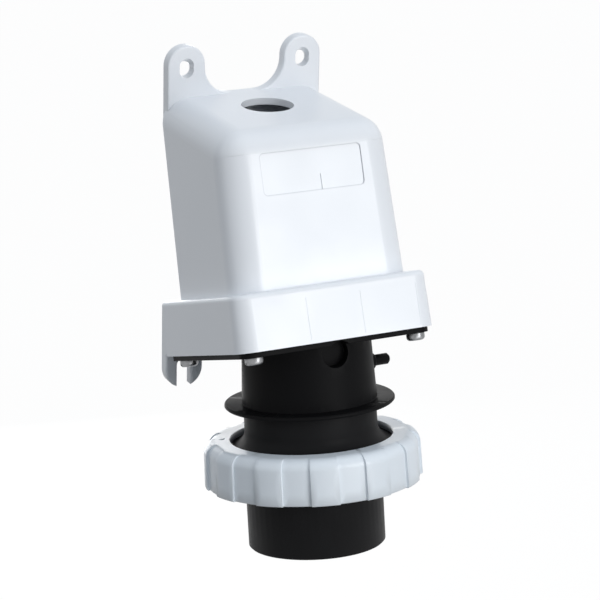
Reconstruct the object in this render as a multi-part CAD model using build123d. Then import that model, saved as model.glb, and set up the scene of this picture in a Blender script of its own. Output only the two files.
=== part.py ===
from build123d import *
import os
from math import cos, radians, sin, tan

# Wall-mounting industrial power inlet: a leaning wiring box fixed to a wall by two ears and two
# slotted tabs, with a pin inlet and its bayonet lock ring hanging from the box's open collar.
# The box leans off the wall, and the inlet hangs between the box's lean and the plumb line.
# X runs along the wall, the wall is the plane Y = 0, the front faces -Y and Z is up.
# The origin lies on the wall, midway between the two ear holes.

# Wall fixing
lean = 20.0                     # box axis against the wall, degrees, lower end outwards
plate_t = 5.1                   # ears and tabs
plate_edge = 1.0                # rounding of their front edges
ear_spacing = 59.4
ear_radius = 9.5
ear_rise = 2.1                  # centre of the ear's round end above its hole
ear_foot_drop = 25.5            # lower end of the ears' plate, where the box's back leaves it
ear_hole_d = 7.2
hole_land = 1.5                 # plain round length of the hole, next to the wall; in front it flares upwards
saddle_radius = 14.0            # rounding at the foot of the dip between the ears
tab_radius = 9.6
tab_slot_w = 7.2
tab_drop = 147.3                # ear holes down to the centre of the tab's round end
slot_rise = 1.7                 # slot's own centre above that of the tab's end
foot_h = 13.0                   # hollow foot that joins the tabs to the collar, up the collar's back

# Wiring box
wall_t = 3.2
box_w = 87.4                    # across the sides, where they meet the collar
side_draft = 1.67               # degrees, each side
box_round = 13.0
box_front = 110.1               # front face from the wall line, along the collar's plane
top_drop = 13.0                 # level top of the box below the ear holes
entry_reach = 29.8              # cable entry's centre out from the wall
entry_d = 24.4
label_w = 50.2
label_h = 18.9
label_top = 86.4                # above the collar's lower rim
label_round = 2.0
label_depth = 0.5
label_rib_x = 4.0               # short rib up from the label field's lower edge
label_rib_w = 0.5
label_rib_h = 7.2

# Collar round the box's mouth
collar_drop = 140.5             # plane of its lower rim, down the wall from the ear holes
collar_w = 98.2
collar_front = 117.2            # along its own plane from the wall
collar_back = 30.3
collar_h = 25.7
collar_corner = 8.2
collar_draft = 1.5              # degrees
collar_edge = 2.4               # rounding of its upper outer edge
collar_wall = 5.4
rim_t = 1.9                     # thin lip round the inlet's plate
panel_margin = 8.6              # framed panel on the collar's front
panel_top = 20.6
panel_bottom = 1.6
panel_depth = 0.15
panel_rib_w = 2.4
boss_d = 9.6

# Inlet plate, its gasket and screws
screw_inset = 8.6               # from the collar's sides
screw_inset_front = 7.1
screw_inset_back = 5.2
plate_clear = 0.2               # plate to the lip round it
plate_proud = 2.5               # plate below the collar's rim
plate_depth = 3.5
gasket_t = 1.2
screw_d = 4.0
screw_len = 14.0
screw_head_d = 8.5
screw_head_h = 3.4

# Inlet barrel, turned about the inlet's axis; all drops run down that axis from the collar's rim plane
inlet_lean = 10.0               # inlet's axis against the wall, degrees, lower end outwards
inlet_reach = 80.0              # axis out from the wall, along the rim plane
disc_drop = 27.0                # top of the stop disc
disc_catch = 1.9                # disc over the lock ring's opening, all round
disc_t = 1.8
disc_edge = 0.5                 # chamfer of its rim
barrel_step = 0.5               # barrel's foot over the neck
barrel_draft = 2.97             # degrees
barrel_wall = 2.2               # at the rim plane
peg_drop = 14.1
peg_d = 5.2
peg_len = 10.6                  # from the barrel's foot size
peg_collar_d = 7.9
peg_collar_len = 3.0
peg_edge = 0.9                  # chamfer of its ends
recess_d = 13.0
recess_drop = 1.1
recess_depth = 5.0
recess_floor = 2.0

# Pin shroud
neck_step = 1.05                # neck inside the skirt's outer size
bore_step = 0.4                 # neck's bore over the barrel's
neck_wall_h = 11.2              # straight part of the neck below the stop disc
cove_r = 7.5
shoulder_w = 12.5               # out from the neck
shoulder_t = 5.0
skirt_d = 63.5
skirt_wall = 3.2
skirt_end_drop = 95.2
skirt_lead = 0.8                # lead-in chamfers at the skirt's end
shoulder_edge = 0.6
floor_t = 6.0
floor_inset = 1.1               # inner floor below the seal's seat
key_w = 6.0
key_h = 2.2
key_len = 38.0
seal_inset = 1.9                # inside the shoulder
seal_t = 2.5
neck_seal_w = 1.3
neck_seal_h = 1.5

# Lock ring
ring_top_drop = 44.3
ring_h = 21.0
ring_gap = 6.7                  # neck to the ring's opening
ring_lip_t = 3.0
ring_wall = 5.7                 # at the foot, in the grip's valleys
ring_draft = 1.6
ring_round = 5.4
ring_round_share = 0.6          # most of the top's width that the rounding may take
ring_foot_edge = 0.6
ring_lip_edge = 0.6
grip_step = 1.2
grip_count = 12
grip_turn = 10.0                # middle of the first raised pad from the front, degrees towards +X
ring_side_clear = 0.4           # ring to the shroud's shoulder, all round
ring_lip_clear = 0.15
ramp_count = 2
ramp_arc = 70.0
ramp_depth = 2.6
ramp_t = 4.0
ramp_rise = 3.0
mark_size = 4.0
mark_turn = -116.0
mark_depth = 0.4

# Contacts
pin_margin = 8.6                # pin circle inside the barrel's bore
earth_turn = 60.0               # earth pin about the inlet axis, from +X
line_pin_d = 6.0
earth_pin_d = 8.0
line_pin_end_drop = 88.6
earth_pin_end_drop = 91.6
terminal_d = 9.0
terminal_top_drop = 13.1
wire_bore_d = 5.2
wire_bore_len = 13.0
terminal_seat = 6.4             # step in the carrier above its lower face
spigot_len = 2.5
pin_clear = 0.05
terminal_screw_d = 3.5
terminal_screw_drop = 19.1
terminal_screw_proud = 2.2
body_screw_d = 2.5
body_screw_head_d = 4.4
body_screw_head_h = 2.0
body_screw_bite = 4.6
body_screw_clear = 0.15
lug_w = 8.0
lug_reach = 6.0                 # in from the bore
lug_t = 4.0
pin_tip_share = 1 / 3           # tip's rounding over the pin's diameter
slot_share = 0.28               # driver slot's width over a screw head's height
slot_deep_share = 0.45          # and its depth

# Frame of the collar: x across, y towards the wall, z up the leaning box
lean_sin = sin(radians(lean))
lean_cos = cos(radians(lean))
collar_plane = Plane((0, 0, -collar_drop), x_dir=(1, 0, 0), z_dir=(0, lean_sin, lean_cos))
side_plane = Plane(collar_plane.origin, x_dir=collar_plane.y_dir, z_dir=(1, 0, 0))
front_plane = Plane(collar_plane.origin, x_dir=(1, 0, 0), z_dir=-collar_plane.y_dir)
collar_face = Plane(front_plane.offset(collar_front).origin, x_dir=(1, 0, 0),
                    z_dir=front_plane.z_dir + collar_plane.z_dir * tan(radians(collar_draft)))
up_box = Axis(collar_plane.origin, collar_plane.z_dir)
to_wall = Axis(collar_plane.origin, collar_plane.y_dir)

# Frame of the inlet: x across, y towards the wall, z up its axis
inlet_frame = Plane(front_plane.offset(inlet_reach).origin, x_dir=(1, 0, 0),
                    z_dir=(0, sin(radians(inlet_lean)), cos(radians(inlet_lean))))
inlet_axis = Axis(inlet_frame.origin, inlet_frame.z_dir)
inlet_plane = Plane(inlet_frame.origin, x_dir=(1, 0, 0), z_dir=-inlet_frame.y_dir)

collar_depth = collar_front - collar_back
collar_mid = -(collar_front + collar_back) / 2
seat_h = plate_depth - plate_proud + gasket_t
screw_x = collar_w / 2 - screw_inset
screw_rows = (-collar_front + screw_inset_front, -collar_back - screw_inset_back)
screw_places = [(x, y) for x in (-screw_x, screw_x) for y in screw_rows]

# Diameters about the inlet's axis, from the skirt outwards and inwards
neck_d = skirt_d - 2 * neck_step
barrel_foot_d = neck_d + 2 * barrel_step
barrel_top_d = barrel_foot_d - 2 * disc_drop * tan(radians(barrel_draft))
bore_d = barrel_top_d - 2 * barrel_wall
neck_bore_d = bore_d + 2 * bore_step
shoulder_d = neck_d + 2 * shoulder_w
seal_d = shoulder_d - 2 * seal_inset
ring_open_d = neck_d + 2 * ring_gap
disc_d = ring_open_d + 2 * disc_catch
pin_circle_d = bore_d - 2 * pin_margin

# Heights along the inlet's axis, shared by its pieces
disc_foot = -disc_drop - disc_t
lip_foot = -ring_top_drop - ring_lip_t
shoulder_top = lip_foot - ring_lip_clear
seal_top = shoulder_top - shoulder_t
floor_foot = seal_top - floor_inset
floor_top = floor_foot + floor_t
carrier_top = disc_foot - spigot_len
carrier_step = floor_top + terminal_seat

# The lock ring runs on the shroud's shoulder; its diameter is taken over the raised pads, at the foot
ring_bore_r = shoulder_d / 2 + ring_side_clear
ring_d = 2 * (ring_bore_r + ring_wall + grip_step)

pin_names = ["earth_pin", "line_pin_1", "line_pin_2", "line_pin_3", "neutral_pin"]
pin_step = 360 / len(pin_names)
lug_turns = [earth_turn + pin_step * (k + 0.5) for k in (0, 2, 4)]
body_screw_circle = bore_d / 2 - body_screw_head_d / 2 - body_screw_clear


def turned(*outline, arc=360.0):
    """Closed outline of (radius, height) points turned about the inlet's axis."""
    return revolve(inlet_plane * make_face(Polyline(*outline, close=True)), inlet_axis, arc)


def about_inlet(turn, radius=0.0, height=0.0):
    """Place in the inlet's frame: turned from +X, at a radius and a height."""
    return Location(inlet_frame) * Pos(0, 0, height) * Rot(0, 0, turn) * Pos(radius, 0, 0)


def upright(radius, low, high):
    """Upright rod between two heights, about its own axis."""
    return Pos(0, 0, (low + high) / 2) * Cylinder(radius, high - low)


def box_form(inset, foot):
    """Leaning box with its level top and rounded front, its faces moved in by inset."""
    front = -box_front + inset
    back = (top_drop - collar_drop) * lean_sin - inset
    slope = tan(radians(lean))
    top_at_wall = (collar_drop - top_drop - inset) / lean_cos
    outline = Polyline((front, foot), (front, top_at_wall + front * slope),
                       (back, top_at_wall + back * slope), (back, foot), close=True)
    form = extrude(side_plane * make_face(outline), box_w, both=True)
    half_foot = box_w / 2 - inset + (collar_h - foot) * tan(radians(side_draft))
    half_head = half_foot - 2 * collar_drop * tan(radians(side_draft))
    head = foot + 2 * collar_drop
    across = Polyline((-half_foot, foot), (half_foot, foot), (half_head, head),
                      (-half_head, head), close=True)
    form &= extrude(front_plane * make_face(across), 2 * box_front, both=True)
    front_edges = form.faces().sort_by(to_wall)[0].edges().sort_by(up_box)[1:-1]
    top_edges = form.faces().sort_by(Axis.Z)[-1].edges().sort_by(to_wall)[:-1]
    return fillet(front_edges + top_edges, box_round - inset)


def collar_outline(inset):
    """Collar's outline moved in by inset, with its two front corners rounded."""
    sheet = Pos(0, collar_mid) * Rectangle(collar_w - 2 * inset, collar_depth - 2 * inset)
    return fillet(sheet.vertices().sort_by(Axis.Y)[:2], collar_corner - inset)


def foot_form(front, top, wall_gap, low, half_w):
    """Block behind the collar, level on top, from a line on the collar's back to a gap off the wall."""
    slope = tan(radians(lean))
    top_at_wall = top - front * slope
    rear = -(wall_gap + top_at_wall * lean_sin) / (lean_cos + slope * lean_sin)
    outline = Polyline((front, low), (front, top), (rear, top_at_wall + rear * slope),
                       (-(wall_gap + low * lean_sin) / lean_cos, low), close=True)
    return extrude(side_plane * make_face(outline), half_w, both=True)


def make_wall_box():
    """Box, collar, ears, foot and tabs moulded as one hollow piece, open at the collar."""
    collar = extrude(collar_plane * collar_outline(0), collar_h, taper=collar_draft)
    rounded = collar.faces().sort_by(up_box)[-1].edges().sort_by(to_wall)[:-1]
    box = box_form(0, 0) + fillet(rounded, collar_edge)

    ear_plate = Pos(0, -(top_drop + ear_foot_drop) / 2) * Rectangle(
        ear_spacing + 2 * ear_radius, ear_foot_drop - top_drop)
    for x in (-ear_spacing / 2, ear_spacing / 2):
        ear_plate += Pos(x, (ear_rise - top_drop) / 2) * Rectangle(2 * ear_radius, ear_rise + top_drop)
        ear_plate += Pos(x, ear_rise) * Circle(ear_radius)
    feet = ear_plate.vertices().filter_by(lambda v: abs(v.X) < ear_spacing / 2).sort_by(Axis.Y)[:2]
    ears = extrude(Plane.XZ * fillet(feet, saddle_radius), plate_t)
    front_edges = ears.faces().sort_by(Axis.Y)[0].edges().sort_by(Axis.Z)[1:]
    box += fillet(front_edges, plate_edge)

    box += foot_form(-collar_back - collar_wall / 2, foot_h, 0, 0, ear_spacing / 2 + tab_radius)
    box -= foot_form(-collar_back, foot_h - wall_t, plate_t, -collar_h, ear_spacing / 2 + tab_radius - wall_t)
    tab_top = plate_t - collar_drop
    for x in (-ear_spacing / 2, ear_spacing / 2):
        tab = Pos(x, (tab_top - tab_drop) / 2) * Rectangle(2 * tab_radius, tab_top + tab_drop)
        tab += Pos(x, -tab_drop) * Circle(tab_radius)
        slot_z = -tab_drop + slot_rise
        tab -= Pos(x, slot_z) * Circle(tab_slot_w / 2)
        tab -= Pos(x, slot_z - tab_radius) * Rectangle(tab_slot_w, 2 * tab_radius)
        tab = extrude(Plane.XZ * tab, plate_t)
        front_edges = tab.faces().sort_by(Axis.Y)[0].edges().sort_by(Axis.Z)[:-1]
        box += fillet(front_edges, plate_edge)

    box -= box_form(wall_t, 0)
    hollow = extrude(collar_plane * collar_outline(collar_wall), collar_h - wall_t)
    for x, y in screw_places:
        hollow -= collar_plane * Pos(x, y) * Cylinder(boss_d / 2, 2 * collar_h)
    box -= hollow
    box -= extrude(collar_plane * collar_outline(rim_t), seat_h)
    for x, y in screw_places:
        box -= collar_plane * Pos(x, y) * Cylinder(screw_d / 2 + pin_clear, 2 * screw_len)
    for x in (-ear_spacing / 2, ear_spacing / 2):
        hole = Plane.XZ * Pos(x, 0) * Circle(ear_hole_d / 2)
        box -= extrude(hole, 2 * plate_t, both=True)
        flare = Vector(0, hole_land - plate_t, ear_rise)
        box -= extrude(Pos(0, -hole_land, 0) * hole, 2 * flare.length, dir=flare)
    box -= Pos(0, -entry_reach, -top_drop) * Cylinder(entry_d / 2, 4 * wall_t)

    label = Pos(0, label_top - label_h / 2) * RectangleRounded(label_w, label_h, label_round)
    label -= Pos(label_rib_x, label_top - label_h + label_rib_h / 2) * Rectangle(label_rib_w, label_rib_h)
    box -= extrude(front_plane.offset(box_front - label_depth) * label, 2 * label_depth)
    panel = Pos(0, (panel_top + panel_bottom) / 2) * Rectangle(
        collar_w - 2 * panel_margin, panel_top - panel_bottom)
    for x in (-1, 1):
        rib_x = x * (collar_w - 2 * panel_margin) / 6
        panel -= Pos(rib_x, (panel_top + panel_bottom) / 2) * Rectangle(panel_rib_w, panel_top)
    box -= extrude(collar_face.offset(-panel_depth) * panel, 2 * panel_depth)
    return box


def make_inlet_gasket():
    """Flat rubber frame between the inlet's plate and the collar's seat."""
    frame = collar_outline(rim_t + plate_clear)
    window = collar_outline(collar_wall)
    for x, y in screw_places:
        window -= Pos(x, y) * Circle(boss_d / 2)
    frame -= window
    for x, y in screw_places:
        frame -= Pos(x, y) * Circle(screw_d / 2 + pin_clear)
    return extrude(collar_plane.offset(seat_h - gasket_t) * frame, gasket_t)


def make_inlet_barrel():
    """Sloping plate, drafted barrel and stop disc moulded as one piece."""
    high = disc_d
    high_r = barrel_top_d / 2 - high * tan(radians(barrel_draft))
    barrel = turned((0, disc_foot), (barrel_foot_d / 2, disc_foot), (barrel_foot_d / 2, -disc_drop),
                    (high_r, high), (0, high))
    barrel = split(barrel, bisect_by=collar_plane, keep=Keep.BOTTOM)
    disc = turned((0, disc_foot), (disc_d / 2, disc_foot), (disc_d / 2, -disc_drop), (0, -disc_drop))
    barrel += chamfer(disc.edges().filter_by(GeomType.CIRCLE), disc_edge)
    plate = collar_plane.offset(-plate_proud) * collar_outline(rim_t + plate_clear)
    barrel += extrude(plate, plate_depth)
    spigot_r = neck_bore_d / 2 - pin_clear
    barrel += about_inlet(0) * upright(spigot_r, carrier_top, -disc_drop)

    # Tether peg on the right, with a collar at its root
    root = (bore_d + barrel_foot_d) / 4
    peg_frame = about_inlet(0, 0, -peg_drop) * Rot(0, 90, 0)
    collar_end = barrel_foot_d / 2 + peg_collar_len
    peg = peg_frame * upright(peg_d / 2, root, barrel_foot_d / 2 + peg_len)
    peg = chamfer(peg.edges().group_by(Axis.X)[-1], peg_edge)
    collar = peg_frame * upright(peg_collar_d / 2, root, collar_end)
    barrel += peg + chamfer(collar.edges().group_by(Axis.X)[-1], peg_edge)

    # Round recess at the front, with its own cup inside the bore
    recess_frame = about_inlet(0, 0, -recess_drop) * Rot(90, 0, 0)
    recess_end = barrel_top_d / 2 - recess_depth
    cup = upright(recess_d / 2 + recess_floor, recess_end - recess_floor, barrel_top_d / 2)
    cup = recess_frame * cup
    bore = about_inlet(0) * upright(bore_d / 2, carrier_top - disc_t, high)
    barrel -= bore - cup
    barrel += split(cup & bore, bisect_by=collar_plane, keep=Keep.BOTTOM)
    barrel -= recess_frame * upright(recess_d / 2, recess_end, barrel_foot_d)

    # Inner lugs for the long screws that clamp carrier and shroud
    spigot = about_inlet(0) * upright(spigot_r, carrier_top, carrier_top + lug_t)
    for turn in lug_turns:
        lug = Pos(bore_d / 2 - lug_reach + lug_w, 0, carrier_top + lug_t / 2) * Box(2 * lug_w, lug_w, lug_t)
        barrel += (about_inlet(turn) * lug) & spigot
        hole = Cylinder(body_screw_d / 2 + body_screw_clear, 4 * lug_t)
        barrel -= about_inlet(turn, body_screw_circle, carrier_top) * hole
    for x, y in screw_places:
        barrel -= collar_plane * Pos(x, y) * Cylinder(screw_d / 2 + plate_clear, 8 * plate_depth)
    return barrel


def make_pin_shroud():
    """Neck with its coved shoulder, inner floor and plain skirt with a guide key at the back."""
    neck_r = neck_d / 2
    cove_top = disc_foot - neck_wall_h
    skirt_r = skirt_d / 2
    skirt_foot = -skirt_end_drop
    outline = [
        Polyline((skirt_r - skirt_wall, skirt_foot), (skirt_r, skirt_foot), (skirt_r, seal_top),
                 (shoulder_d / 2, seal_top), (shoulder_d / 2, shoulder_top),
                 (neck_r + cove_r, shoulder_top)),
        RadiusArc((neck_r + cove_r, shoulder_top), (neck_r, shoulder_top + cove_r), cove_r),
        Polyline((neck_r, shoulder_top + cove_r), (neck_r, disc_foot),
                 (neck_bore_d / 2 + neck_seal_w, disc_foot),
                 (neck_bore_d / 2 + neck_seal_w, disc_foot - neck_seal_h),
                 (neck_bore_d / 2, disc_foot - neck_seal_h), (neck_bore_d / 2, floor_top),
                 (0, floor_top), (0, floor_foot), (skirt_r - skirt_wall, floor_foot),
                 (skirt_r - skirt_wall, skirt_foot)),
    ]
    section = make_face(outline)
    section = chamfer(section.vertices().group_by(Axis.Y)[0], skirt_lead)
    section = chamfer(section.vertices().sort_by(Axis.X)[-2:], shoulder_edge)
    shroud = revolve(inlet_plane * section, inlet_axis)
    key = Pos(0, skirt_r - skirt_wall / 2 + key_h / 2, skirt_foot + key_len / 2)
    key *= Box(key_w, skirt_wall + key_h, key_len)
    shroud += about_inlet(0) * key
    for k, name in enumerate(pin_names):
        pin_d = earth_pin_d if name == "earth_pin" else line_pin_d
        hole = upright(pin_d / 2 + pin_clear, floor_foot - floor_t, floor_top)
        shroud -= about_inlet(earth_turn + pin_step * k, pin_circle_d / 2) * hole
    for turn in lug_turns:
        bite = body_screw_bite + pin_clear
        hole = upright(body_screw_d / 2 + pin_clear, floor_top - bite, floor_top)
        shroud -= about_inlet(turn, body_screw_circle) * hole
    return shroud


def make_lock_ring():
    """Bayonet ring: inner lip, drafted grip with raised pads and a rounded brow, two sloping ramps."""
    top = -ring_top_drop
    foot = top - ring_h
    open_r = ring_open_d / 2

    def grip(inner, outer):
        """Upright part of the section, out to a drafted side with a rounded brow and a chamfered foot."""
        head = outer - ring_h * tan(radians(ring_draft))
        section = make_face(Polyline((inner, foot), (outer, foot), (head, top), (inner, top), close=True))
        brow = section.vertices().group_by(Axis.Y)[-1].sort_by(Axis.X)[-1]
        section = fillet(brow, min(ring_round, (head - open_r) * ring_round_share))
        return chamfer(section.vertices().sort_by(Axis.X)[-1], ring_foot_edge)

    def spun(piece, turn):
        return piece.rotate(inlet_axis, turn)

    section = grip(open_r, ring_d / 2 - grip_step)
    lip = section.vertices().sort_by(Axis.X)[:2].sort_by(Axis.Y)[-1]
    ring = revolve(inlet_plane * chamfer(lip, ring_lip_edge), inlet_axis)

    # Grip pads, as wide as the valleys between them; their step fades out over the brow
    pad_arc = 180 / grip_count
    pad = revolve(inlet_plane * grip((open_r + ring_bore_r) / 2, ring_d / 2), inlet_axis, pad_arc)
    for k in range(grip_count):
        ring += spun(pad, grip_turn - 90 - pad_arc / 2 + k * 360 / grip_count)
    ring -= about_inlet(0) * upright(ring_bore_r, foot - ring_lip_t, lip_foot)

    # Ramps whose upper faces pull the mating half home as the ring turns
    inner_r = ring_bore_r - ramp_depth
    root_r = ring_bore_r + ring_wall / 4
    half_chord = inner_r * sin(radians(ramp_arc / 2))
    tilt = Plane(inlet_frame.offset(foot + ramp_t).origin,
                 z_dir=2 * half_chord * inlet_frame.z_dir - ramp_rise * inlet_frame.y_dir)
    ramp = turned((inner_r, foot), (root_r, foot), (root_r, foot + 2 * ramp_t),
                  (inner_r, foot + 2 * ramp_t), arc=ramp_arc)
    ramp = split(spun(ramp, -ramp_arc / 2), bisect_by=tilt, keep=Keep.BOTTOM)
    for k in range(ramp_count):
        ring += spun(ramp, k * 360 / ramp_count)

    mark = about_inlet(mark_turn - 90, (ring_open_d + ring_d) / 4 - ring_round / 2, top - mark_depth)
    ring -= mark * extrude(RegularPolygon(mark_size / 2, 3), 2 * mark_depth)
    return ring


def make_pin(name, turn):
    """Turned pin: rounded tip, plain shank and a wider terminal with its wire bore."""
    pin_d = earth_pin_d if name == "earth_pin" else line_pin_d
    end = -earth_pin_end_drop if name == "earth_pin" else -line_pin_end_drop
    shank = upright(pin_d / 2, end, carrier_step)
    shank = fillet(shank.edges().sort_by(Axis.Z)[0], pin_d * pin_tip_share)
    pin = shank + upright(terminal_d / 2, carrier_step, -terminal_top_drop)
    pin -= upright(wire_bore_d / 2, -terminal_top_drop - wire_bore_len, -terminal_top_drop)
    tapped = Pos(terminal_d / 2, 0, -terminal_screw_drop) * Rot(0, 90, 0)
    pin -= tapped * Cylinder(terminal_screw_d / 2 + pin_clear, terminal_d)
    return about_inlet(turn, pin_circle_d / 2) * pin


def make_pin_carrier():
    """Round block in the neck that holds the pins by their terminals."""
    carrier = about_inlet(0) * upright(neck_bore_d / 2 - pin_clear, floor_top, carrier_top)
    for k, name in enumerate(pin_names):
        pin_d = earth_pin_d if name == "earth_pin" else line_pin_d
        hole = upright(pin_d / 2 + pin_clear, floor_top, carrier_step)
        hole += upright(terminal_d / 2 + pin_clear, carrier_step, carrier_top)
        carrier -= about_inlet(earth_turn + pin_step * k, pin_circle_d / 2) * hole
    for turn in lug_turns:
        hole = upright(body_screw_d / 2 + body_screw_clear, floor_top, carrier_top)
        carrier -= about_inlet(turn, body_screw_circle) * hole
    return carrier


def screw(shank_d, shank_len, head_d, head_h):
    """Slotted pan-head screw along +Z, its head's seat at the origin and its head below."""
    head = upright(head_d / 2, -head_h, 0)
    head = fillet(head.edges().sort_by(Axis.Z)[0], head_h / 2)
    head -= Pos(0, 0, -head_h) * Box(head_d, head_h * slot_share, 2 * head_h * slot_deep_share)
    return head + upright(shank_d / 2, 0, shank_len)


def make_terminal_screws():
    """One slotted clamping screw across each terminal."""
    length = terminal_d / 2 + terminal_screw_proud - wire_bore_d / 4
    stud = upright(terminal_screw_d / 2, 0, length)
    slot = Box(terminal_screw_d, terminal_screw_d * slot_share, terminal_screw_proud)
    stud -= Pos(0, 0, length) * slot
    stud = Pos(pin_circle_d / 2 + wire_bore_d / 4, 0, -terminal_screw_drop) * Rot(0, 90, 0) * stud
    return Compound(children=[about_inlet(earth_turn + pin_step * k) * stud
                              for k in range(len(pin_names))])


def make_flange_screws():
    """Four screws up through the inlet's plate into the box's bosses."""
    body = screw(screw_d, screw_len, screw_head_d, screw_head_h)
    return Compound(children=[collar_plane * Pos(x, y, -plate_proud) * body for x, y in screw_places])


def make_body_screws():
    """Three long screws through the barrel's lugs and the carrier into the shroud's floor."""
    seat = carrier_top + lug_t
    length = seat - floor_top + body_screw_bite
    body = screw(body_screw_d, length, body_screw_head_d, body_screw_head_h)
    return Compound(children=[about_inlet(turn, body_screw_circle, seat) * Rot(180, 0, 0) * body
                              for turn in lug_turns])


def make_shroud_seal():
    """Flat rubber ring under the shoulder, squeezed by the mating half."""
    inner = skirt_d / 2 + plate_clear
    return turned((inner, seal_top - seal_t), (seal_d / 2, seal_top - seal_t), (seal_d / 2, seal_top),
                  (inner, seal_top))


def make_neck_seal():
    """Square rubber ring where the shroud's neck meets the stop disc."""
    inner = neck_bore_d / 2
    outer = inner + neck_seal_w - pin_clear
    low = disc_foot - neck_seal_h
    return turned((inner, low), (outer, low), (outer, disc_foot), (inner, disc_foot))


nodes = {
    "wall_box": make_wall_box(),
    "inlet_gasket": make_inlet_gasket(),
    "inlet_barrel": make_inlet_barrel(),
    "pin_shroud": make_pin_shroud(),
    "lock_ring": make_lock_ring(),
    "pin_carrier": make_pin_carrier(),
    "shroud_seal": make_shroud_seal(),
    "neck_seal": make_neck_seal(),
    "flange_screws": make_flange_screws(),
    "body_screws": make_body_screws(),
    "terminal_screws": make_terminal_screws(),
}
for k, name in enumerate(pin_names):
    nodes[name] = make_pin(name, earth_turn + pin_step * k)

os.makedirs("parts", exist_ok=True)
for name, shape in nodes.items():
    export_step(shape, f"parts/{name}.step")
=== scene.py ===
import math

import bpy
import numpy as np
from mathutils import Matrix, Vector

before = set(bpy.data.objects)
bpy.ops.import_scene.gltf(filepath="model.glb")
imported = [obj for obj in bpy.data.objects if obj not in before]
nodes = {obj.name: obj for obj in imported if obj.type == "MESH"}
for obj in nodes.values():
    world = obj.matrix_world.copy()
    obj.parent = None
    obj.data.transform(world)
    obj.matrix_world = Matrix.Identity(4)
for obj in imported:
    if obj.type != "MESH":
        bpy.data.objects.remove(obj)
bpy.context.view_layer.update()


# Wall box
# The leaning wiring box with its collar, fixing ears, foot and slotted tabs, injection moulded as one
# piece in light grey polycarbonate. It is screwed to the wall and carries all the other pieces.

MM = 0.001
BOX_GREY = "#E9ECF0"
BOX_LEAN = math.radians(20.0)         # off the wall
COLLAR_DROP = 140.5 * MM              # from the ear holes down the wall to the plane of the collar's rim
SEAM_RISE = 86.9 * MM                 # parting step above the rim
SEAM_FRONT = 104.0 * MM               # where it starts to show, out from where the rim's plane meets the wall
SEAM_FADE = 3.0 * MM
SEAM_WIDTH = 0.5 * MM
SEAM_STEP = 0.10 * MM
LABEL_HALF = (25.1 * MM, 9.45 * MM)   # half the label field's width and height
LABEL_RISE = 76.95 * MM               # its middle above the rim
LABEL_ROUND = 2.0 * MM
# painted shade in the corner of the label's recess
RECESS_SHADE_GREY = "#CDD0D5"
LINE_HALF = 0.4 * MM
NOISE_LOW = 0.3                       # nearly all values of a noise lie between these two
NOISE_HIGH = 0.7
GLOSS_SPREAD = 0.04
WELD_GAP = 0.001 * MM
FLAT_ANGLE = math.radians(0.02)
EDGE_ANGLE = math.radians(62)
EDGE_STEPS = 3


def linear(hex_colour):
    """Linear RGBA of an sRGB hex colour, by the standard two-part sRGB curve."""
    channels = np.array([int(hex_colour[k:k + 2], 16) for k in (1, 3, 5)]) / 255
    low = channels / 12.92
    high = ((channels + 0.055) / 1.055) ** 2.4
    return (*np.where(channels <= 0.04045, low, high).tolist(), 1.0)


def add_node(tree, kind, settings=None, inputs=None):
    """Add one node, set its properties, then set each named input or link it to a given output."""
    node = tree.nodes.new(kind)
    for name, value in (settings or {}).items():
        setattr(node, name, value)
    for name, value in (inputs or {}).items():
        if isinstance(value, bpy.types.NodeSocket):
            tree.links.new(value, node.inputs[name])
        else:
            node.inputs[name].default_value = value
    return node


def new_material(name):
    """Empty node material, with its tree, its Principled shader and its Object coordinates."""
    material = bpy.data.materials.new(name)
    material.use_nodes = True
    tree = material.node_tree
    tree.nodes.clear()
    shader = add_node(tree, "ShaderNodeBsdfPrincipled")
    add_node(tree, "ShaderNodeOutputMaterial", inputs={"Surface": shader.outputs["BSDF"]})
    place = add_node(tree, "ShaderNodeTexCoord").outputs["Object"]
    return material, tree, shader, place


def moulded(name, colour, rough, specular, flow_mm, tint, grain_mm, grain_depth_mm):
    """Moulded plastic or rubber: slow clouds of colour and gloss where the melt flowed, and a fine grain
    from the spark-eroded tool as bump. Returns the material, its tree, shader, coordinates and bump."""
    material, tree, shader, place = new_material(name)
    base = np.array(linear(colour))[:3]
    flow = add_node(tree, "ShaderNodeTexNoise", {}, {
        "Vector": place, "Scale": 1 / (flow_mm * MM), "Detail": 3.0})
    cloud = add_node(tree, "ShaderNodeMix", {"data_type": "RGBA"}, {
        "Factor": flow.outputs["Fac"], "A": (*(base * (1 - tint)), 1.0),
        "B": (*np.minimum(base * (1 + tint), 1.0), 1.0)})
    tree.links.new(cloud.outputs["Result"], shader.inputs["Base Color"])
    gloss = add_node(tree, "ShaderNodeMapRange", {}, {
        "Value": flow.outputs["Fac"], "From Min": NOISE_LOW, "From Max": NOISE_HIGH,
        "To Min": rough - GLOSS_SPREAD, "To Max": rough + GLOSS_SPREAD})
    tree.links.new(gloss.outputs["Result"], shader.inputs["Roughness"])
    grain = add_node(tree, "ShaderNodeTexNoise", {}, {
        "Vector": place, "Scale": 1 / (grain_mm * MM), "Detail": 2.0, "Roughness": 0.6})
    bump = add_node(tree, "ShaderNodeBump", {}, {
        "Height": grain.outputs["Fac"], "Distance": grain_depth_mm * MM, "Strength": 1.0})
    tree.links.new(bump.outputs["Normal"], shader.inputs["Normal"])
    shader.inputs["Specular IOR Level"].default_value = specular
    return material, tree, shader, place, bump


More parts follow.
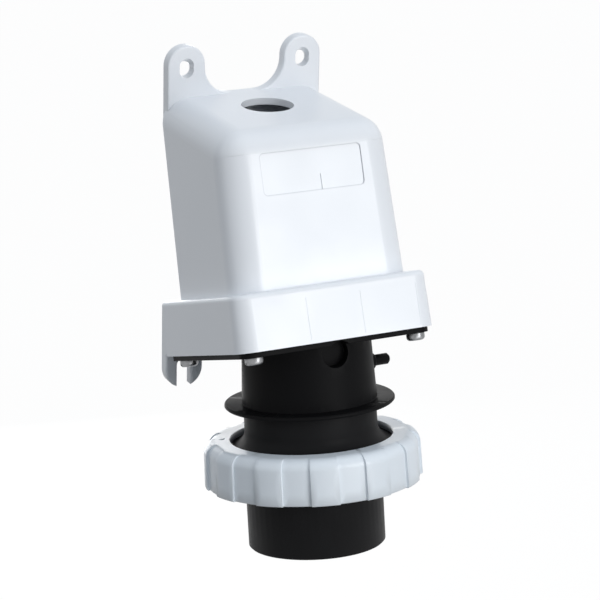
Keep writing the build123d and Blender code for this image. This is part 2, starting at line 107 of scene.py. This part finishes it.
def dress(node, material, edge=0.0):
    """Give a CAD node its material and, by modifiers, softly rounded edges of the given radius."""
    piece = nodes[node]
    piece.data.materials.clear()
    piece.data.materials.append(material)
    if edge:
        weld = piece.modifiers.new("Weld", "WELD")
        weld.merge_threshold = WELD_GAP
        flat = piece.modifiers.new("Flat faces", "DECIMATE")
        flat.decimate_type = "DISSOLVE"
        flat.angle_limit = FLAT_ANGLE
        bevel = piece.modifiers.new("Rounded edges", "BEVEL")
        bevel.width = edge
        bevel.segments = EDGE_STEPS
        bevel.limit_method = "ANGLE"
        bevel.angle_limit = EDGE_ANGLE
        bevel.use_clamp_overlap = False
        bevel.harden_normals = True


# Polycarbonate from a finely eroded tool: satin, almost even in colour. The grain is drawn coarser
# than the real 0.15 mm, and the tool's parting step round the front wider, so that they show.
box_plastic, tree, shader, place, grain_bump = moulded(
    "Light grey polycarbonate, moulded", BOX_GREY, rough=0.32, specular=0.6,
    flow_mm=26.0, tint=0.012, grain_mm=0.7, grain_depth_mm=0.002)

# The pattern's frame is the box's own: across, up from the collar's rim, and out to the front.
box_frame = add_node(tree, "ShaderNodeMapping", {}, {
    "Vector": place, "Rotation": (BOX_LEAN - math.pi / 2, 0.0, 0.0),
    "Location": (0.0, COLLAR_DROP * math.cos(BOX_LEAN), COLLAR_DROP * math.sin(BOX_LEAN))})
box_place = add_node(tree, "ShaderNodeSeparateXYZ", {}, {"Vector": box_frame.outputs["Vector"]})
front_only = add_node(tree, "ShaderNodeMapRange", {"interpolation_type": "SMOOTHSTEP"}, {
    "Value": box_place.outputs["Z"], "From Min": SEAM_FRONT, "From Max": SEAM_FRONT + SEAM_FADE})
step = add_node(tree, "ShaderNodeMapRange", {"interpolation_type": "SMOOTHSTEP"}, {
    "Value": box_place.outputs["Y"], "From Min": SEAM_RISE - SEAM_WIDTH / 2,
    "From Max": SEAM_RISE + SEAM_WIDTH / 2})
front_step = add_node(tree, "ShaderNodeMath", {"operation": "MULTIPLY"}, {
    0: step.outputs["Result"], 1: front_only.outputs["Result"]})
seam = add_node(tree, "ShaderNodeBump", {}, {
    "Height": front_step.outputs[0], "Distance": SEAM_STEP, "Strength": 1.0,
    "Normal": grain_bump.outputs["Normal"]})
tree.links.new(seam.outputs["Normal"], shader.inputs["Normal"])

# A soft dark line of painted shade lies in the corner of the label's shallow recess, where shade falls.
# The distance to its outline is the length of what reaches past the inner rectangle, less the corner's
# radius.
label_inner = (LABEL_HALF[0] - LABEL_ROUND, LABEL_HALF[1] - LABEL_ROUND, 0.0)
label_height = add_node(tree, "ShaderNodeMath", {"operation": "SUBTRACT"}, {
    0: box_place.outputs["Y"], 1: LABEL_RISE})
on_front = add_node(tree, "ShaderNodeCombineXYZ", {}, {
    "X": box_place.outputs["X"], "Y": label_height.outputs[0]})
one_quarter = add_node(tree, "ShaderNodeVectorMath", {"operation": "ABSOLUTE"}, {0: on_front.outputs[0]})
from_inner = add_node(tree, "ShaderNodeVectorMath", {"operation": "SUBTRACT"}, {
    0: one_quarter.outputs[0], 1: label_inner})
past_inner = add_node(tree, "ShaderNodeVectorMath", {"operation": "MAXIMUM"}, {
    0: from_inner.outputs[0], 1: (0.0, 0.0, 0.0)})
past_length = add_node(tree, "ShaderNodeVectorMath", {"operation": "LENGTH"}, {0: past_inner.outputs[0]})
past_corner = add_node(tree, "ShaderNodeMath", {"operation": "SUBTRACT"}, {
    0: past_length.outputs["Value"], 1: LABEL_ROUND})
off_line = add_node(tree, "ShaderNodeMath", {"operation": "ABSOLUTE"}, {0: past_corner.outputs[0]})
line = add_node(tree, "ShaderNodeMapRange", {}, {
    "Value": off_line.outputs[0], "From Min": LINE_HALF, "From Max": 0.0})
front_shade_line = add_node(tree, "ShaderNodeMath", {"operation": "MULTIPLY"}, {
    0: line.outputs["Result"], 1: front_only.outputs["Result"]})
# Painted shade: the recess's corner is mixed towards the darker grey.
shade_lined = add_node(tree, "ShaderNodeMix", {"data_type": "RGBA"}, {
    "Factor": front_shade_line.outputs[0], "A": shader.inputs["Base Color"].links[0].from_socket,
    "B": linear(RECESS_SHADE_GREY)})
tree.links.new(shade_lined.outputs["Result"], shader.inputs["Base Color"])
dress("wall_box", box_plastic)


# Inlet gasket and seals
# Black rubber: a flat frame between the inlet's plate and the collar, a square ring where the shroud
# meets the barrel, and a flat ring under the shroud's shoulder that the mating half presses on.

RUBBER_BLACK = "#171718"

# Moulded rubber is dull and a little grey where its filler blooms.
rubber = moulded("Black rubber, moulded", RUBBER_BLACK, rough=0.75, specular=0.1,
                 flow_mm=9.0, tint=0.25, grain_mm=0.9, grain_depth_mm=0.01)[0]
for seal in ("inlet_gasket", "neck_seal", "shroud_seal"):
    dress(seal, rubber)


# Inlet barrel, shroud and pin carrier
# The black body of the inlet, moulded in glass-filled polyamide: the sloping plate with its barrel and
# stop disc, the neck with its shoulder and skirt, and the inner block that holds the pins.

BARREL_BLACK = "#111112"
SHROUD_BLACK = "#1F1F20"
INLET_EDGE = 0.25 * MM

# Glass-filled polyamide is satin, with a faint mottle where the fibres reach the skin.
# The shroud comes from a second tool and is a shade greyer.
filled_finish = dict(rough=0.45, specular=0.04, flow_mm=14.0, tint=0.2, grain_mm=0.8, grain_depth_mm=0.006)
barrel_plastic = moulded("Black polyamide, moulded", BARREL_BLACK, **filled_finish)[0]
shroud_plastic = moulded("Grey-black polyamide, moulded", SHROUD_BLACK, **filled_finish)[0]
dress("inlet_barrel", barrel_plastic, INLET_EDGE)
dress("pin_shroud", shroud_plastic, INLET_EDGE)
dress("pin_carrier", shroud_plastic, INLET_EDGE)


# Screws
# Slotted pan-head screws of zinc-plated steel: four that clamp the plate to the collar, three long ones
# inside the barrel, and one across each pin's terminal.

ZINC_DARK = "#6E6F71"
ZINC_LIGHT = "#9FA0A2"
ZINC_CLOUD = 1.6 * MM
SCREW_EDGE = 0.15 * MM

# Bright zinc has a soft, slightly milky shine that varies over a few millimetres.
steel, tree, shader, place = new_material("Zinc-plated steel, bright")
shader.inputs["Metallic"].default_value = 1.0
milk = add_node(tree, "ShaderNodeTexNoise", {}, {"Vector": place, "Scale": 1 / ZINC_CLOUD, "Detail": 2.0})
zinc = add_node(tree, "ShaderNodeMix", {"data_type": "RGBA"}, {
    "Factor": milk.outputs["Fac"], "A": linear(ZINC_DARK), "B": linear(ZINC_LIGHT)})
tree.links.new(zinc.outputs["Result"], shader.inputs["Base Color"])
shine = add_node(tree, "ShaderNodeMapRange", {}, {
    "Value": milk.outputs["Fac"], "From Min": NOISE_LOW, "From Max": NOISE_HIGH,
    "To Min": 0.28, "To Max": 0.42})
tree.links.new(shine.outputs["Result"], shader.inputs["Roughness"])
for group in ("flange_screws", "body_screws", "terminal_screws"):
    dress(group, steel, SCREW_EDGE)


# Pins
# Five turned brass pins with their wire terminals, pressed into the carrier on one circle.

BRASS_YELLOW = "#C9AC6A"
PIN_LEAN = BOX_LEAN / 2               # the inlet's axis off the wall
TURNING_FEED = 0.6 * MM
TURNING_DEPTH = 0.003 * MM

# Turned brass shows the tool's fine feed rings; they are drawn 0.6 mm apart instead of about 0.1 mm.
brass, tree, shader, place = new_material("Brass, turned")
shader.inputs["Metallic"].default_value = 1.0
shader.inputs["Base Color"].default_value = linear(BRASS_YELLOW)
shader.inputs["Roughness"].default_value = 0.24
along = add_node(tree, "ShaderNodeVectorMath", {"operation": "DOT_PRODUCT"}, {
    0: place, 1: (0.0, math.sin(PIN_LEAN), math.cos(PIN_LEAN))})
turns = add_node(tree, "ShaderNodeMath", {"operation": "MULTIPLY"}, {
    0: along.outputs["Value"], 1: 2 * math.pi / TURNING_FEED})
feed_rings = add_node(tree, "ShaderNodeMath", {"operation": "SINE"}, {0: turns.outputs[0]})
turned = add_node(tree, "ShaderNodeBump", {}, {
    "Height": feed_rings.outputs[0], "Distance": TURNING_DEPTH, "Strength": 1.0})
tree.links.new(turned.outputs["Normal"], shader.inputs["Normal"])
for pin in ("earth_pin", "line_pin_1", "line_pin_2", "line_pin_3", "neutral_pin"):
    dress(pin, brass)


# Lock ring
# The bayonet ring that turns on the shroud's shoulder, moulded in blue-grey polyamide with raised grip
# pads round it and two sloping ramps inside.

RING_GREY = "#DEE5EB"
RING_EDGE = 0.12 * MM

# Unfilled polyamide is a touch waxier than the box, from the same kind of tool.
ring_plastic = moulded("Blue-grey polyamide, moulded", RING_GREY, rough=0.34, specular=0.5,
                       flow_mm=20.0, tint=0.015, grain_mm=0.7, grain_depth_mm=0.003)[0]
dress("lock_ring", ring_plastic, RING_EDGE)


# Camera
# At the photograph's viewing angle and distance, with its slight roll.

CAMERA_TURN = math.radians(-26.744)
CAMERA_RISE = math.radians(19.641)
CAMERA_ROLL = math.radians(1.369)
CAMERA_REACH = 1189.836 * MM
CAMERA_AIM = Vector((-2.352, -72.482, -93.921)) * MM
LENS_MM = 156.504
SENSOR_MM = 36.0

back = Vector((math.sin(CAMERA_TURN) * math.cos(CAMERA_RISE),
               -math.cos(CAMERA_TURN) * math.cos(CAMERA_RISE), math.sin(CAMERA_RISE)))
level = Vector((math.cos(CAMERA_TURN), math.sin(CAMERA_TURN), 0.0))
upright = back.cross(level)
across = level * math.cos(CAMERA_ROLL) + upright * math.sin(CAMERA_ROLL)
camera_up = upright * math.cos(CAMERA_ROLL) - level * math.sin(CAMERA_ROLL)
camera = bpy.data.objects.new("Camera", bpy.data.cameras.new("Camera"))
bpy.context.scene.collection.objects.link(camera)
turn = Matrix((across, camera_up, back)).transposed().to_4x4()
camera.matrix_world = Matrix.Translation(CAMERA_AIM + CAMERA_REACH * back) @ turn
camera.data.lens = LENS_MM
camera.data.sensor_width = SENSOR_MM
bpy.context.scene.camera = camera


# Studio light
# A soft key in front on the right, whose shine lies on the box's front, a broad fill low in front, a weak
# lamp on the left and a low one behind. The sky is cool, bright above and dark below the horizon; the
# camera and the reflections see a white surround instead.

SKY_COOL = "#F0F7FF"
SKY_FOOT = -0.1                       # height, from -1 to 1, where the sky's light begins
SKY_TOP = 0.9
SKY_STRENGTH = 0.98


def softbox(name, direction, reach, size, strength):
    """Square soft lamp aimed at the object; strength is the light it gives a facing white surface."""
    lamp = bpy.data.lights.new(name, "AREA")
    lamp.size = size
    lamp.energy = strength * (math.pi * reach) ** 2
    holder = bpy.data.objects.new(name, lamp)
    bpy.context.scene.collection.objects.link(holder)
    way = Vector(direction).normalized()
    holder.location = CAMERA_AIM + way * reach
    holder.rotation_euler = way.to_track_quat("Z", "Y").to_euler()


def seen_directly(tree):
    """Output that is 1 for rays from the camera, off a shine or through glass, and 0 for other light."""
    path = add_node(tree, "ShaderNodeLightPath")
    looked_at = add_node(tree, "ShaderNodeMath", {"operation": "MAXIMUM"}, {
        0: path.outputs["Is Camera Ray"], 1: path.outputs["Is Glossy Ray"]})
    seen = add_node(tree, "ShaderNodeMath", {"operation": "MAXIMUM"}, {
        0: looked_at.outputs[0], 1: path.outputs["Is Transmission Ray"]})
    return seen.outputs[0]


softbox("Key", (0.35, -0.885, 0.31), reach=1.69, size=0.58, strength=0.31)
softbox("Fill", (0.18, -0.96, -0.20), reach=1.2, size=1.0, strength=0.38)
softbox("Side", (-1.0, 0.08, 0.40), reach=1.8, size=1.2, strength=0.08)
softbox("Back", (0.20, 0.97, -0.12), reach=1.2, size=0.7, strength=0.30)

world = bpy.data.worlds.new("Studio")
bpy.context.scene.world = world
world.use_nodes = True
tree = world.node_tree
tree.nodes.clear()
sky = add_node(tree, "ShaderNodeTexCoord")
height = add_node(tree, "ShaderNodeSeparateXYZ", {}, {"Vector": sky.outputs["Generated"]})
grade = add_node(tree, "ShaderNodeMapRange", {}, {
    "Value": height.outputs["Z"], "From Min": SKY_FOOT, "From Max": SKY_TOP,
    "To Min": 0.0, "To Max": SKY_STRENGTH})
soft = add_node(tree, "ShaderNodeBackground", {}, {
    "Color": linear(SKY_COOL), "Strength": grade.outputs["Result"]})
white = add_node(tree, "ShaderNodeBackground", {}, {"Color": linear("#FFFFFF"), "Strength": 1.0})
surround = add_node(tree, "ShaderNodeMixShader", {}, {
    0: seen_directly(tree), 1: soft.outputs[0], 2: white.outputs[0]})
add_node(tree, "ShaderNodeOutputWorld", {}, {"Surface": surround.outputs[0]})


# Floor
# Plain floor far below the object, near white to the camera and to reflections and dark to other light,
# so that little light comes up from it. The studio's light on it adds the rest, less the shadow.

FLOOR_Z = -0.62
FLOOR_HALF = 14.0
FLOOR_WHITE = "#F9F9F9"
FLOOR_DARK = "#3F3F3F"

floor_corners = [(x * FLOOR_HALF, y * FLOOR_HALF, FLOOR_Z) for x, y in ((-1, -1), (1, -1), (1, 1), (-1, 1))]
floor_mesh = bpy.data.meshes.new("Floor")
floor_mesh.from_pydata(floor_corners, [], [(0, 1, 2, 3)])
floor = bpy.data.objects.new("Floor", floor_mesh)
bpy.context.scene.collection.objects.link(floor)
floor_paint, tree, shader, place = new_material("White floor, matte paint")
shader.inputs["Base Color"].default_value = linear(FLOOR_DARK)
shader.inputs["Roughness"].default_value = 1.0
shader.inputs["Specular IOR Level"].default_value = 0.0
shader.inputs["Emission Color"].default_value = linear(FLOOR_WHITE)
tree.links.new(seen_directly(tree), shader.inputs["Emission Strength"])
floor_mesh.materials.append(floor_paint)


bpy.context.scene.view_settings.view_transform = "Standard"
